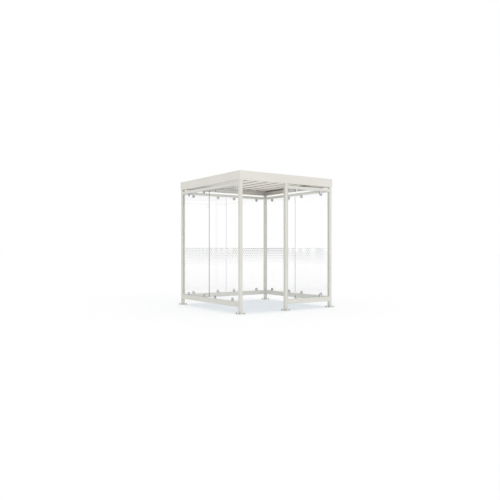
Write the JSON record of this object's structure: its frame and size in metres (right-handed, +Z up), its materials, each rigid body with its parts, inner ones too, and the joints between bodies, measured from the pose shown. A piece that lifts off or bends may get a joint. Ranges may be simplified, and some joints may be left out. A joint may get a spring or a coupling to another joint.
{
  "type": "glazed canopy shelter",
  "caption": "Square flat-roofed glazed shelter: pale coated steel tube frame, clamped glass walls with a dot band, an open entrance bay and a deep fascia round a ribbed roof.",
  "frame": {"origin": "on the ground at the middle of the plan", "axes": "+Z up, -Y out through the entrance front, -X to the left of someone facing the entrance"},
  "size_m": [2.13, 2.13, 2.38],
  "materials": {
    "frame_coat": "satin powder coat, warm off-white",
    "roof_sheet_coat": "coil-coated steel sheet, pale grey-white",
    "glass": "clear toughened glass with a band of pale dots",
    "clamp_metal": "satin metal, mid grey",
    "gasket_rubber": "matt black rubber"
  },
  "bodies": {
    "root": {"front_left_post": "frame_coat", "front_right_post": "frame_coat", "back_left_post": "frame_coat", "back_right_post": "frame_coat", "entrance_post": "frame_coat", "front_left_base": "frame_coat", "front_right_base": "frame_coat", "back_left_base": "frame_coat", "back_right_base": "frame_coat", "entrance_base": "frame_coat", "front_bottom_rail": "frame_coat", "right_bottom_rail": "frame_coat", "back_bottom_rail": "frame_coat", "left_bottom_rail": "frame_coat", "front_top_rail": "frame_coat", "right_top_rail": "frame_coat", "back_top_rail": "frame_coat", "left_top_rail": "frame_coat", "front_glass": "glass", "right_front_glass": "glass", "right_back_glass": "glass", "back_right_glass": "glass", "back_left_glass": "glass", "left_back_glass": "glass", "left_front_glass": "glass", "front_clamp_bodies": "clamp_metal", "right_clamp_bodies": "clamp_metal", "back_clamp_bodies": "clamp_metal", "left_clamp_bodies": "clamp_metal", "front_clamp_covers": "clamp_metal", "right_clamp_covers": "clamp_metal", "back_clamp_covers": "clamp_metal", "left_clamp_covers": "clamp_metal", "front_clamp_gaskets": "gasket_rubber", "right_clamp_gaskets": "gasket_rubber", "back_clamp_gaskets": "gasket_rubber", "left_clamp_gaskets": "gasket_rubber", "front_fascia": "frame_coat", "right_fascia": "frame_coat", "back_fascia": "frame_coat", "left_fascia": "frame_coat", "roof_sheet_left": "roof_sheet_coat", "roof_sheet_right": "roof_sheet_coat", "front_roof_bearer": "frame_coat", "back_roof_bearer": "frame_coat"}
  },
  "joints": []
}
